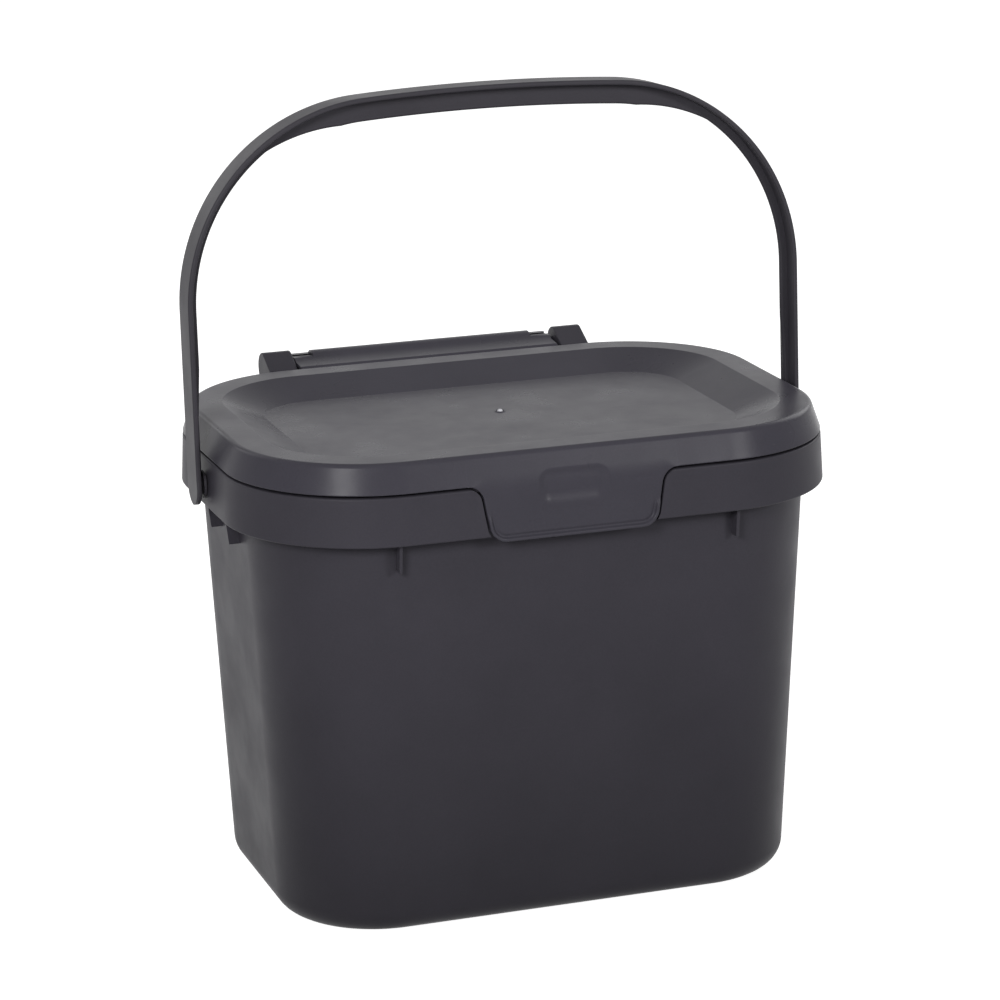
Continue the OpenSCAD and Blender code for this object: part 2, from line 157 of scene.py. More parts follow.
# Arm: heights of its root from the hinge axis, how far the root stands out, and its rise over the ring
ROOT_IN, ROOT_TOP, ROOT_FOOT = -0.6, 1, -1.6
ROOT_OUT = 1
ARM_RISE, ARM_BACK = 0.3, 0.7

# Handle's pins, the pads inside the skirt that they turn in, and the spacers and heads beside them
PIVOT_DROP, PIVOT_R, PIVOT_BORE_L = 10.35, 4, 12
PIVOT_Z = RIM_Z - PIVOT_DROP
PAD_R, PAD_T = 7.95, 1.7
SPACER_OUT, SPACER_W = 1.5, 0.8
HEAD_OUT, HEAD_W, HEAD_GAP = 0.8, 1.2, 0.3
PIN_SINK = 0.3
PAD_X = CORE_X + RIM_R - RIM_T - PAD_T

# Handle's band, whose outer face stands at LEG_X, with its leg's round end and the edges' radii
BAND_W, BAND_T, BOSS_T = 15, 2, 3.8
BAND_EDGE_OUT, BAND_EDGE_IN = 0.9, 0.6
LEG_GAP = 0.9
LEG_X = CORE_X + RIM_R + LEG_GAP + BOSS_T
LEG_H = 68
SHOULDER_R = 79.2
CROWN_RISE, CROWN_DEEP, LEG_DEEP = 1.6, 10, 5
END_R = 7.9
# Height above the pivot from which a leg has its full width, and the least half width below that
END_TOP, END_TIP = 2.5, 0.02
# Points along the handle: round a leg's end, up the leg, round the shoulder and over half the crown
HANDLE_POINTS = (22, 18, 49, 17)
# The leg's end is drawn up to this angle, and the leg from this height above the pivot
END_TURN, LEG_FROM = 18, 4
# The standing handle leans back by this many degrees
LEAN = 2.6
# Web on the band's inner side: thickness, and its edge as (back from the edge, in from the side) points
WEB_T = 2.4
WEB_EDGE = ((0.9, 0), (0.5, 0.12), (0.2, 0.4), (0, 0.85))
# The web deepens between these heights above the pivot and between these angles round the shoulder
WEB_FOOT = (26, 46)
WEB_TURN = (54, 79)

# How far a shape runs into the one that it grows from, and a cutter runs past what it cuts
SINK = 0.4
OVERRUN = 1
OVERRUN_SEAM = 3
OVERRUN_SIDE = 5

# ---- Looks and stage ----

PLASTIC_IOR, PLASTIC_SPECULAR = 1.49, 0.08
# Ranges of the plastic's cloudy and speckled tone, and how much rubbed edges and scratches add to it
CLOUD, SPECK = (0.93, 1.07), (0.96, 1.04)
EDGE_RUB, SCRATCH_RUB = 0.2, 0.06
# How much smoother or rougher than its mean the plastic is in places, and in scratches
SMOOTHER, ROUGHER, SCRATCH_ROUGH = 0.04, 0.05, 0.05
# Height in metres up to which a moulding's foot may be darker than the rest: painted shade, standing in for
# the shade near the floor
PAINTED_SHADE_TOP = 0.13

GROUND_GREY, GROUND_ROUGHNESS, GROUND_GLOW = 0.55, 0.9, 0.86
WORLD_LEVEL = 0.32
# Floor and backdrop in metres: front, back, half width, height, and radius of the bend between them
FLOOR_FRONT, FLOOR_BACK, FLOOR_HALF, BACKDROP_H, BACKDROP_BEND = -4, 3, 5, 4, 1.2

# Lamps: azimuth, elevation, distance and side in metres, and watts; all look at AIM
AIM = (0, 0, 0.13)
LAMPS = {
    "left_front": (-38, 25, 1.6, 0.4, 18),
    "right_front": (31, 21, 1.7, 0.36, 11),
    "top": (10, 75, 1.6, 1.2, 1),
    "left_back": (-150, 30, 1.8, 1, 5),
    "right_back": (118, 28, 1.8, 1, 9)}

# The photograph's camera: angles in degrees, focal length and the base's centre in the 1000-pixel frame
CAMERA_AZIMUTH, CAMERA_ELEVATION, CAMERA_ROLL = -18.8, 15.2, -0.94
FOCAL_PX = 3713.4
ORIGIN_PX = (507.0, 852.3)
DISTANCE = 1532.9
FRAME_PX = 1000
SENSOR = 36


# ---- Outlines ----


def wall_r(z):
    """Reach of the wall's outside at height z."""
    return WALL_BASE_R + WALL_LEAN * z / RIM_Z


def lid_r(z):
    """Reach of the lid's edge at height z."""
    return RIM_TOP_R - LID_LEAN * (z - SEAM_Z) / LID_H


def rounded_line(points, degrees=9):
    """Turns (x, y, radius) points into a line whose corners are arcs of those radii."""
    xy = [np.array(p[:2], float) for p in points]
    most = 0.49  # share of a side that one corner's arc may take
    out = []
    for i, (_, _, radius) in enumerate(points):
        if radius == 0 or i in (0, len(points) - 1):
            out.append(xy[i])
            continue
        before = xy[i - 1] - xy[i]
        after = xy[i + 1] - xy[i]
        room = most * min(np.linalg.norm(before), np.linalg.norm(after))
        before /= np.linalg.norm(before)
        after /= np.linalg.norm(after)
        opening = math.acos(np.clip(before @ after, -1, 1))
        setback = min(radius / math.tan(opening / 2), room)
        radius = setback * math.tan(opening / 2)
        middle = before + after
        centre = xy[i] + middle / np.linalg.norm(middle) * radius / math.sin(opening / 2)
        first = xy[i] + before * setback - centre
        last = xy[i] + after * setback - centre
        start = math.atan2(first[1], first[0])
        turn = math.remainder(math.atan2(last[1], last[0]) - start, math.tau)
        steps = max(2, round(abs(math.degrees(turn)) / degrees))
        for k in range(steps + 1):
            angle = start + turn * k / steps
            out.append(centre + radius * np.array([math.cos(angle), math.sin(angle)]))
    return out


def arc(centre, radius, start, end, steps):
    """Points on an arc, with angles in degrees."""
    angles = np.radians(np.linspace(start, end, steps + 1))
    return [(centre[0] + radius * math.cos(a), centre[1] + radius * math.sin(a)) for a in angles]


def smooth(t):
    """Smooth step of a number or an array, from 0 at t = 0 to 1 at t = 1."""
    t = np.clip(t, 0, 1)
    return t * t * (3 - 2 * t)


# ---- Meshes ----


def add_object(name, data):
    """Object of a mesh, a lamp or a camera, in the scene."""
    obj = bpy.data.objects.new(name, data)
    bpy.context.scene.collection.objects.link(obj)
    return obj


def shade(mesh, sharp):
    """Smooth shading except over edges sharper than that angle."""
    mesh.shade_smooth()
    mesh.set_sharp_from_angle(angle=math.radians(sharp))


def piece(name, verts, faces, sharp=35):
    """Mesh object from millimetre points, without double points and with its faces turned outwards."""
    mesh = bpy.data.meshes.new(name)
    mesh.from_pydata([tuple(float(c) * MM for c in v) for v in verts], [], faces)
    bm = bmesh.new()
    bm.from_mesh(mesh)
    bmesh.ops.remove_doubles(bm, verts=bm.verts, dist=1e-6)
    bmesh.ops.recalc_face_normals(bm, faces=bm.faces)
    bm.to_mesh(mesh)
    bm.free()
    shade(mesh, sharp)
    return add_object(name, mesh)


def apply_modifiers(obj):
    """Replaces the object's mesh by its evaluated one."""
    graph = bpy.context.evaluated_depsgraph_get()
    mesh = bpy.data.meshes.new_from_object(obj.evaluated_get(graph))
    old = obj.data
    obj.modifiers.clear()
    obj.data = mesh
    bpy.data.meshes.remove(old)


def cut(obj, cutter):
    """Cuts obj by cutter and deletes the cutter."""
    step = obj.modifiers.new("cut", "BOOLEAN")
    step.operation = "DIFFERENCE"
    step.solver = "EXACT"
    step.object = cutter
    apply_modifiers(obj)
    bpy.data.objects.remove(cutter)
    return obj


def bevel(obj, width):
    """Rounds the edges, except those between faces that are nearly level with each other."""
    step = obj.modifiers.new("ease", "BEVEL")
    step.width = width * MM
    step.segments = 3
    step.limit_method = "ANGLE"
    step.angle_limit = math.radians(30)
    apply_modifiers(obj)
    shade(obj.data, 40)


def join(name, parts):
    """One object of several closed meshes."""
    bm = bmesh.new()
    for part in parts:
        bm.from_mesh(part.data)
        bpy.data.objects.remove(part)
    mesh = bpy.data.meshes.new(name)
    bm.to_mesh(mesh)
    bm.free()
    shade(mesh, 35)
    return add_object(name, mesh)


def mirror(obj):
    """Adds the mirror image on the other side of the middle to the object's mesh."""
    bm = bmesh.new()
    bm.from_mesh(obj.data)
    twin = bmesh.ops.duplicate(bm, geom=bm.verts[:] + bm.edges[:] + bm.faces[:])["geom"]
    points = [g for g in twin if isinstance(g, bmesh.types.BMVert)]
    sides = [g for g in twin if isinstance(g, bmesh.types.BMFace)]
    bmesh.ops.scale(bm, vec=(-1, 1, 1), verts=points)
    bmesh.ops.reverse_faces(bm, faces=sides)
    bm.to_mesh(obj.data)
    bm.free()
    return obj


def core_path(corner_steps=28, side_steps=6):
    """Stations round the core rectangle: its point there, and the outward direction."""
    signs = ((1, 1), (-1, 1), (-1, -1), (1, -1))
    corners = [np.array([sx * CORE_X, sy * CORE_Y]) for sx, sy in signs]
    out = []
    for turn, corner in enumerate(corners):
        angles = np.radians(np.linspace(90 * turn, 90 * turn + 90, corner_steps + 1))
        out += [(corner, np.array([math.cos(a), math.sin(a)])) for a in angles]
        following = corners[(turn + 1) % len(corners)]
        facing = out[-1][1]
        out += [(corner + (following - corner) * k / side_steps, facing) for k in range(1, side_steps)]
    return out


def swept(name, profile, path):
    """Closed shell of a (reach, height) profile swept round a closed path, flat inside its ends."""
    verts = [(*(p + r * n), z) for p, n in path for r, z in profile]
    rows, cols = len(path), len(profile)
    faces = []
    for i in range(rows):
        a, b = i * cols, (i + 1) % rows * cols
        faces += [(a + j, b + j, b + j + 1, a + j + 1) for j in range(cols - 1)]
    faces.append([i * cols for i in range(rows)])
    faces.append([i * cols + cols - 1 for i in range(rows)])
    return piece(name, verts, faces)


def prism(name, outline, low, high, place, ease):
    """Prism of an outline from low to high with eased edges; place(a, b, c) gives the point in space."""
    n = len(outline)
    verts = [place(a, b, low) for a, b in outline] + [place(a, b, high) for a, b in outline]
    faces = [list(range(n)), list(range(n, 2 * n))]
    faces += [(i, (i + 1) % n, n + (i + 1) % n, n + i) for i in range(n)]
    obj = piece(name, verts, faces)
    if ease:
        bevel(obj, ease)
    return obj


def along_x(a, b, c):
    """Outline in (y, z), thickness along X."""
    return (c, a, b)


def rod(name, radius, x0, x1, axis, ease, steps=48):
    """Round bar along X about an axis at (y, z), with eased ends."""
    return prism(name, arc(axis, radius, 0, 360 - 360 / steps, steps - 1), x0, x1, along_x, ease)


# ---- Tub ----


def tub_shell():
    """Wall, floor and hollow rim, from a profile of (reach, height, corner radius) points."""
    groove_r = WALL_BASE_R - BASE_FILLET - FOOT_W
    return swept("tub", rounded_line([
        (MIDDLE_R, 0, 0),
        (groove_r - GROOVE_W, 0, 0.5),
        (groove_r - GROOVE_W + GROOVE_DEEP, GROOVE_DEEP, 0.3),
        (groove_r - GROOVE_DEEP, GROOVE_DEEP, 0.3),
        (groove_r, 0, 0.5),
        (WALL_BASE_R, 0, BASE_FILLET),
        (wall_r(RIM_Z - RIM_T), RIM_Z - RIM_T, 0.8),
        (RIM_TOP_R - RIM_T, RIM_Z - RIM_T, 0.8),
        (RIM_R - RIM_T, SKIRT_Z, 0.4),
        (RIM_R, SKIRT_Z, 0.6),
        (RIM_TOP_R, RIM_Z, 0.8),
        (RIM_IN_R, RIM_Z, 0.7),
        (wall_r(FLOOR_T) - TUB_WALL, FLOOR_T, BASE_FILLET - TUB_WALL),
        (MIDDLE_R, FLOOR_T, 0)]), core_path())


def rib(at, side):
    """Rib between wall and skirt, at a place along the front or the right side."""
    low = SKIRT_Z - RIB_DROP
    outline = [
        (wall_r(low) - TUB_WALL / 2, low),
        (wall_r(low) + RIB_BLUNT * RIB_REACH, low),
        (wall_r(SKIRT_Z) + RIB_REACH, SKIRT_Z + SINK),
        (RIM_R - RIM_T / 2, SKIRT_Z + SINK),
        (RIM_TOP_R - RIM_T / 2, RIM_Z - RIM_T / 2),
        (wall_r(RIM_Z) - TUB_WALL / 2, RIM_Z - RIM_T / 2)]

    def place(reach, z, across):
        if side == "front":
            return (at + across, -CORE_Y - reach, z)
        return (CORE_X + reach, at + across, z)
    return prism("rib", outline, -RIB_T / 2, RIB_T / 2, place, 0.25)


def ear():
    """Hinge ear behind the rim, a barrel with a sloping brow and a hollow bracket below."""
    y, z = HINGE
    front = y - EAR_RUN
    skirt_y = CORE_Y + RIM_R
    in_rim_z = RIM_Z - RIM_T / 3
    foot_z = SKIRT_Z + EAR_FOOT
    outline = [(CORE_Y + RIM_TOP_R - SINK, in_rim_z), (front, in_rim_z), (front, z + BROW_UP)]
    outline += arc(HINGE, EAR_R, BROW_TURN, BARREL_TURN, 20)
    outline += [(y + EAR_BACK, RIM_Z), (skirt_y + EAR_FOOT, foot_z), (skirt_y - SINK, foot_z)]
    solid = prism("ear", outline, EAR_X, EAR_X + EAR_W, along_x, 0.5)
    inside = y + EAR_HOLLOW
    below = SKIRT_Z - OVERRUN_SIDE
    hollow = [
        (skirt_y, below),
        (skirt_y, RIM_Z - EAR_WALL),
        (front + EAR_WALL, z - EAR_R),
        (inside, z - EAR_R),
        (inside, RIM_Z),
        (skirt_y + EAR_HOLLOW, below)]
    end = EAR_X + EAR_W - EAR_WALL
    cut(solid, prism("hollow", hollow, EAR_X + EAR_WALL, end, along_x, 0))
    return cut(solid, rod("bore", HINGE_PIN_R + PIN_GAP, EAR_X - OVERRUN, end, HINGE, 0))


def tab_line(grow):
    """Right half of the tab's outline, grown by that much, from the neck down to the end of the foot."""
    neck = np.array([TAB_W / 2, -TAB_NECK_R])
    foot = np.array([TAB_FOOT_W / 2, TAB_FOOT_R - TAB_H])
    line = foot - neck
    # Direction of the straight side, which touches the neck's arc and the foot's
    side = math.degrees(math.atan2(line[1], line[0])) + 360
    side += math.degrees(math.asin((TAB_NECK_R + TAB_FOOT_R) / np.linalg.norm(line)))
    upper = arc(neck, TAB_NECK_R - grow, 90, side - 90, NECK_STEPS)
    lower = arc(foot, TAB_FOOT_R + grow, side - 270, -90, FOOT_STEPS)
    start, end = np.array(upper[-1]), np.array(lower[0])
    straight = [tuple(start + (end - start) * k / SIDE_STEPS) for k in range(1, SIDE_STEPS)]
    return upper + straight + lower


def on_skirt(x, down, out):
    """Point before the rim: across, down the skirt from the seam (negative below it), and out of it."""
    y = -CORE_Y - RIM_TOP_R + down * math.sin(SKIRT_TILT) - out * math.cos(SKIRT_TILT)
    return (x, y, SEAM_Z + down * math.cos(SKIRT_TILT) - out * math.sin(SKIRT_TILT))


def tab_notch():
    """Cutter for the rim's opening that takes the tab."""
    half = tab_line(TAB_GAP)
    right = [(half[0][0], OVERRUN_SEAM)] + half
    outline = right + [(-x, z) for x, z in reversed(right)]
    return prism("notch", outline, -LID_T - TAB_GAP, OVERRUN_SIDE, on_skirt, 0)


def make_tub():
    """Tub with the notch for the tab, and its ribs, ears and bearing pads on both sides."""
    shell = tub_shell()
    cut(shell, tab_notch())
    axis = (0, PIVOT_Z)
    bore_r = PIVOT_R + PIN_GAP
    cut(shell, rod("bore", bore_r, LEG_X - PIVOT_BORE_L, LEG_X, axis, 0))
    cut(shell, rod("bore", bore_r, -LEG_X, PIVOT_BORE_L - LEG_X, axis, 0))
    pad = rod("pad", PAD_R, PAD_X, CORE_X + RIM_TOP_R - RIM_T / 2, axis, 0.4)
    cut(pad, rod("bore", bore_r, PAD_X - OVERRUN, LEG_X, axis, 0))
    parts = [rib(RIB_FRONT_X, "front"), ear(), pad]
    parts += [rib(y, "side") for y in RIB_SIDE_Y]
    return join("tub_moulding", [shell] + [mirror(p) for p in parts])


# ---- Lid ----


def lid_shell():
    """Edge, ring, slope and panel, with the seat and plug rings, from (reach, height, radius) points."""
    groove_r = max(lid_r(RING_Z) - LID_T, SEAT_R + UNDER_T + SEAT_STEP)
    groove_z = min(RING_Z - LID_T, SEAM_Z + LID_H * (RIM_TOP_R - LID_T - groove_r) / LID_LEAN)
    under = RING_Z - LID_T
    # The slope's underside is shifted in, so that its wall is as thick as the panel's
    shift = LID_T * math.tan(math.atan(PANEL_DROP / SLOPE_W) / 2)
    return swept("lid", rounded_line([
        (MIDDLE_R, PANEL_Z, 0),
        (PANEL_R, PANEL_Z, 1.5),
        (RING_IN_R, RING_Z, 1.2),
        (lid_r(RING_Z), RING_Z, LID_ROUND),
        (lid_r(SEAM_Z), SEAM_Z, 0.35),
        (lid_r(SEAM_Z) - LID_T, SEAM_Z, 0.35),
        (groove_r, groove_z, 0.3),
        (SEAT_R + UNDER_T, groove_z, 0.15),
        (SEAT_R + UNDER_T, RIM_Z + SEAT_GAP, 0.2),
        (SEAT_R, RIM_Z + SEAT_GAP, 0.2),
        (SEAT_R, under, 0.3),
        (PLUG_R, under, 0.3),
        (PLUG_R, RIM_Z - PLUG_DROP, 0.5),
        (PLUG_R - UNDER_T, RIM_Z - PLUG_DROP, 0.4),
        (PLUG_R - UNDER_T, under, 0.5),
        (RING_IN_R + shift, under, 2),
        (PANEL_R + shift, PANEL_Z - LID_T, 2),
        (MIDDLE_R, PANEL_Z - LID_T, 0)]), core_path())


def knuckle_window(side, above):
    """Cutter that takes the top off one end of the knuckle, from that height above the hinge."""
    y, z = HINGE
    low, high = z + above, z + 2 * KNUCKLE_R
    fore, aft = y - 2 * KNUCKLE_R, y + 2 * KNUCKLE_R
    x0, x1 = sorted((side * (KNUCKLE_X - WINDOW_W), side * (KNUCKLE_X + OVERRUN)))
    return prism("window", [(fore, low), (aft, low), (aft, high), (fore, high)], x0, x1, along_x, 0)


def arm():
    """Arm behind the lid's edge, with the knuckle that curls over the hinge axis, its webs and its pins."""
    y, z = HINGE
    edge = CORE_Y + lid_r(z)
    top = CORE_Y + RIM_TOP_R
    back = y - KNUCKLE_R - ARM_BACK
    outline = [(edge - LID_T / 2, z + ROOT_IN), (edge + ROOT_OUT, z + ROOT_TOP)]
    outline += [(top, RING_Z - ARM_RISE), (back, RING_Z + ARM_RISE)]
    outline += arc(HINGE, KNUCKLE_R, CURL_TOP, CURL_END, 24)
    outline += arc(HINGE, KNUCKLE_R - KNUCKLE_T, CURL_END, CURL_INNER, 24)
    outline += [(back, RING_Z + ARM_RISE - KNUCKLE_T), (top + ROOT_OUT, RING_Z - ARM_RISE - KNUCKLE_T)]
    outline.append((edge + ROOT_OUT, z + ROOT_FOOT))
    solid = prism("arm", outline, -KNUCKLE_X, KNUCKLE_X, along_x, 0.3)
    for side in (1, -1):
        cut(solid, knuckle_window(side, WINDOW_Z))

    inner_r = KNUCKLE_R - KNUCKLE_SKIN
    end = rod("end", inner_r, KNUCKLE_X - KNUCKLE_END_W, KNUCKLE_X, HINGE, 0.3)
    cut(end, knuckle_window(1, WINDOW_Z - WINDOW_STEP))
    half = KNUCKLE_WEB_W / 2
    webs = [rod("web", inner_r, x - half, x + half, HINGE, 0.2) for x in (-KNUCKLE_X / 2, 0, KNUCKLE_X / 2)]
    pin_end = EAR_X + EAR_W - EAR_WALL - HINGE_PIN_END - HINGE_PLAY
    pin = rod("pin", HINGE_PIN_R, KNUCKLE_X - KNUCKLE_SKIN, pin_end, HINGE, 0.3)
    parts = [solid] + webs + [mirror(end), mirror(pin)]
    for part in parts:
        part.data.transform(Matrix.Translation((-HINGE_PLAY * MM, 0, 0)))
    return parts


def face_y(x, z):
    """Y of the lid's edge and of the tab below it, with a round crease that fades at the tab's sides."""
    edge = -CORE_Y - lid_r(z)
    skirt = -CORE_Y - RIM_TOP_R - (SEAM_Z - z) * SKIRT_LEAN / SKIRT_H
    reach = CREASE * smooth((TAB_W / 2 - np.abs(x)) / CREASE_FADE) + 1e-6
    near = np.maximum(reach - np.abs(edge - skirt), 0) / reach
    return np.maximum(edge, skirt) + near ** 2 * reach / 4


def recess_depth(x, z):
    """Depth of the thumb recess, a rounded rectangle whose sides slope more gently towards its foot."""
    middle = SEAM_Z + RECESS_UP - RECESS_H / 2
    qx = np.abs(x) - RECESS_W / 2 + RECESS_R
    qz = np.abs(z - middle) - RECESS_H / 2 + RECESS_R
    corner = np.hypot(np.maximum(qx, 0), np.maximum(qz, 0))
    outside = corner + np.minimum(np.maximum(qx, qz), 0) - RECESS_R
    share = smooth(0.5 + (middle - z) / RECESS_H)
    slope = RECESS_SLOPE_TOP + (RECESS_SLOPE_FOOT - RECESS_SLOPE_TOP) * share
    return RECESS_DEEP * smooth(-outside / slope)


def lip_height(offset, z):
    """Height of the tab's border at a distance inside its outline.

    A rounded edge, a lip, which dies out up the tab's sides, and a groove inside the lip."""
    fade = smooth((SKIRT_Z - TAB_DROP + LIP_H - z) / LIP_FADE)
    lip = LIP_OUT * smooth((LIP_W + LIP_EDGE / 2 - offset) / LIP_EDGE)
    groove = LIP_GROOVE * smooth(1 - np.abs(offset - LIP_W - LIP_GROOVE_W / 2) / LIP_GROOVE_W)
    short = np.maximum(FACE_EDGE_R - offset, 0)
    drop = FACE_EDGE_R - np.sqrt(np.maximum(FACE_EDGE_R ** 2 - short ** 2, 0))
    return (lip - groove) * fade - drop


def face_sheet():
    """Points and quads of the lid's face with the tab, as one sheet.

    A point is (x, down from the seam, distance inside the tab's outline). Rows cross the face from its top
    to the foot of the innermost ring, and the border's rings go round them to the tab's outline."""
    lines = [tab_line(-offset) for offset in BORDER]
    inner = lines[-1]
    count = len(inner)
    top = FACE_TOP - SEAM_Z
    rows = [(TAB_W / 2, top + (inner[0][1] - top) * k / FACE_ROWS) for k in range(FACE_ROWS)] + inner
    across = np.linspace(-1, 1, FACE_COLUMNS + 1)
    points, index = [], {}

    def add(key, x, down, offset):
        if key not in index:
            index[key] = len(points)
            points.append((x, down, offset))
        return index[key]

    def on_ring(ring, step):
        """Point on a ring, counted down the left side, along the foot and up the right side."""
        if step < count:
            row, column = step, 0
        elif step < count + FACE_COLUMNS - 1:
            row, column = count - 1, step - count + 1
        else:
            row, column = 2 * count + FACE_COLUMNS - 2 - step, FACE_COLUMNS
        x, down = lines[ring][row]
        innermost = ring == len(BORDER) - 1
        key = ("row", FACE_ROWS + row, column) if innermost else (ring, row, column)
        return add(key, x * across[column], down, BORDER[ring])

    for i, (half, down) in enumerate(rows):
        for j, share in enumerate(across):
            add(("row", i, j), half * share, down, BORDER[-1])
    quads = []
    for i in range(len(rows) - 1):
        for j in range(FACE_COLUMNS):
            corners = ((i, j), (i + 1, j), (i + 1, j + 1), (i, j + 1))
            quads.append(tuple(index["row", a, b] for a, b in corners))
    for ring in range(len(BORDER) - 1):
        for s in range(2 * count + FACE_COLUMNS - 2):
            corners = ((ring, s), (ring, s + 1), (ring + 1, s + 1), (ring + 1, s))
            quads.append(tuple(on_ring(a, b) for a, b in corners))
    return np.array(points), quads


def side_walls(quads, n):
    """Faces that join the open border of a sheet of quads to its copy, whose points come n later."""
    edges = dict.fromkeys((a, b) for q in quads for a, b in zip(q, q[1:] + q[:1]))
    return [(b, a, a + n, b + n) for a, b in edges if (b, a) not in edges]


def lid_face():
    """The lid's front edge and the tab that grows out of it, as one smooth closed shell."""
    points, quads = face_sheet()
    x, down, offset = points.T
    z = SEAM_Z + down
    plane = face_y(x, z)
    recess = recess_depth(x, z)
    front = plane - np.where(down < 1e-6, lip_height(offset, z), 0) + recess
    back = plane + np.where(z > SEAM_Z, LID_T, TAB_T) + RECESS_BACK * smooth(recess / RECESS_DEEP)
    n = len(points)
    faces = quads + [tuple(n + v for v in reversed(q)) for q in quads] + side_walls(quads, n)
    return piece("lid_face", [*zip(x, front, z), *zip(x, back, z)], faces, 45)


def face_window():
    """Cutter for the part of the lid's edge that the front face takes."""
    inner = -CORE_Y - SEAT_R - UNDER_T - 2 * SEAT_STEP
    outer = -CORE_Y - RIM_R - OVERRUN_SIDE
    low = SEAM_Z - OVERRUN_SEAM
    outline = [(inner, low), (outer, low), (outer, FACE_TOP), (inner, FACE_TOP)]
    return prism("window", outline, -TAB_W / 2, TAB_W / 2, along_x, 0)


def gate_part(name, profile):
    """Closed shape of a (radius, height) profile turned about the gate's place on the panel."""
    centre = np.array(GATE)
    angles = np.linspace(0, math.tau, GATE_STEPS, endpoint=False)
    path = [(centre, np.array([math.cos(a), math.sin(a)])) for a in angles]
    return swept(name, [(r, PANEL_Z + h) for r, h in profile], path)


def gate_ring():
    """Low ring that the mould's gate leaves on the panel."""
    return gate_part("gate", [(1.5, -0.1), (1.6, 0.2), (1.9, 0.3), (2.2, 0.2), (2.5, -0.1)])


def gate_nub():
    """Sheared stub in the middle of that ring, where the plastic has turned pale."""
    return gate_part("gate_nub", [(0.05, 0.8), (0.7, 0.75), (1, 0.5), (1.15, -0.1)])


def make_lid():
    """Lid with its front face, the gate's ring and the arm with the knuckle."""
    shell = lid_shell()
    cut(shell, face_window())
    return join("lid_moulding", [shell, lid_face(), gate_ring()] + arm())


# ---- Handle ----


def handle_path():
    """Stations along the handle's outer face from the right leg's end over to the left one.

    Each is the point (x, z) above the pivot and the angle that the face looks to, from +X up to +Z."""
    shoulder_x = LEG_X - SHOULDER_R
    crown_r = (shoulder_x ** 2 + (SHOULDER_R + CROWN_RISE) ** 2 - SHOULDER_R ** 2) / (2 * CROWN_RISE)
    crown_z = LEG_H + SHOULDER_R + CROWN_RISE - crown_r
    crown = math.degrees(math.asin(shoulder_x / (crown_r - SHOULDER_R)))
    end, leg, shoulder, top = HANDLE_POINTS
    half = []
    for angle in np.linspace(-90, END_TURN, end):
        half.append(((LEG_X, END_R * math.sin(math.radians(angle))), 0))
    for height in np.linspace(LEG_FROM, LEG_H, leg):
        half.append(((LEG_X, height), 0))
    for angle in np.linspace(0, 90 - crown, shoulder)[1:]:
        a = math.radians(angle)
        half.append(((shoulder_x + SHOULDER_R * math.cos(a), LEG_H + SHOULDER_R * math.sin(a)), angle))
    for angle in np.linspace(90 - crown, 90, top)[1:]:
        a = math.radians(angle)
        half.append(((crown_r * math.cos(a), crown_z + crown_r * math.sin(a)), angle))
    return half + [((-x, z), 180 - angle) for (x, z), angle in reversed(half[:-1])]


def ring_at(place, angle, section):
    """Points of a (depth, y) section at a place on the handle's outer line that faces that angle."""
    out = (math.cos(math.radians(angle)), math.sin(math.radians(angle)))
    return [(place[0] - d * out[0], y, place[1] - d * out[1]) for d, y in section]


def swept_along(name, rows, sharp):
    """Closed shape of equally long rings of points, with flat ends."""
    size = len(rows[0])
    faces = []
    for i in range(len(rows) - 1):
        a, b = i * size, (i + 1) * size
        faces += [(a + j, a + (j + 1) % size, b + (j + 1) % size, b + j) for j in range(size)]
    faces += [list(range(size)), list(range((len(rows) - 1) * size, len(rows) * size))]
    return piece(name, [v for row in rows for v in row], faces, sharp)


def band_section(height):
    """Right half of the band's cross-section as (depth, y), at a height above the pivot on a leg."""
    half = BAND_W / 2
    if height < END_TOP:
        half = max(math.sqrt(max(END_R ** 2 - height ** 2, 0)), END_TIP)
    small = min(1, half)
    return rounded_line([
        (0, 0, 0),
        (0, half, BAND_EDGE_OUT * small),
        (BAND_T, half, BAND_EDGE_IN * small),
        (BAND_T, 0, 0)], degrees=15)


def band():
    """Band swept along the handle, with round lower ends."""
    rows = []
    for place, angle in handle_path():
        side = band_section(place[1])
        rows.append(ring_at(place, angle, side + [(d, -y) for d, y in side[-2:0:-1]]))
    return swept_along("band", rows, 40)


def web_depth(height, angle):
    """Depth of the handle with its web, on a leg at that height or round a shoulder at that angle."""
    if height <= LEG_H:
        share = (height - WEB_FOOT[0]) / (WEB_FOOT[1] - WEB_FOOT[0])
        return BOSS_T + (LEG_DEEP - BOSS_T) * min(1, max(0, share))
    share = (min(angle, 180 - angle) - WEB_TURN[0]) / (WEB_TURN[1] - WEB_TURN[0])
    return LEG_DEEP + (CROWN_DEEP - LEG_DEEP) * min(1, max(0, share))


def middle_web():
    """Web along the middle of the band's inner side, with a rounded edge."""
    rows = []
    half = WEB_T / 2
    for place, angle in handle_path():
        if place[1] < 0:
            continue
        depth = web_depth(place[1], angle)
        right = [(BAND_T / 2, half)] + [(depth - back, half - inset) for back, inset in WEB_EDGE]
        rows.append(ring_at(place, angle, right + [(d, -y) for d, y in reversed(right)]))
    return swept_along("web", rows, 50)


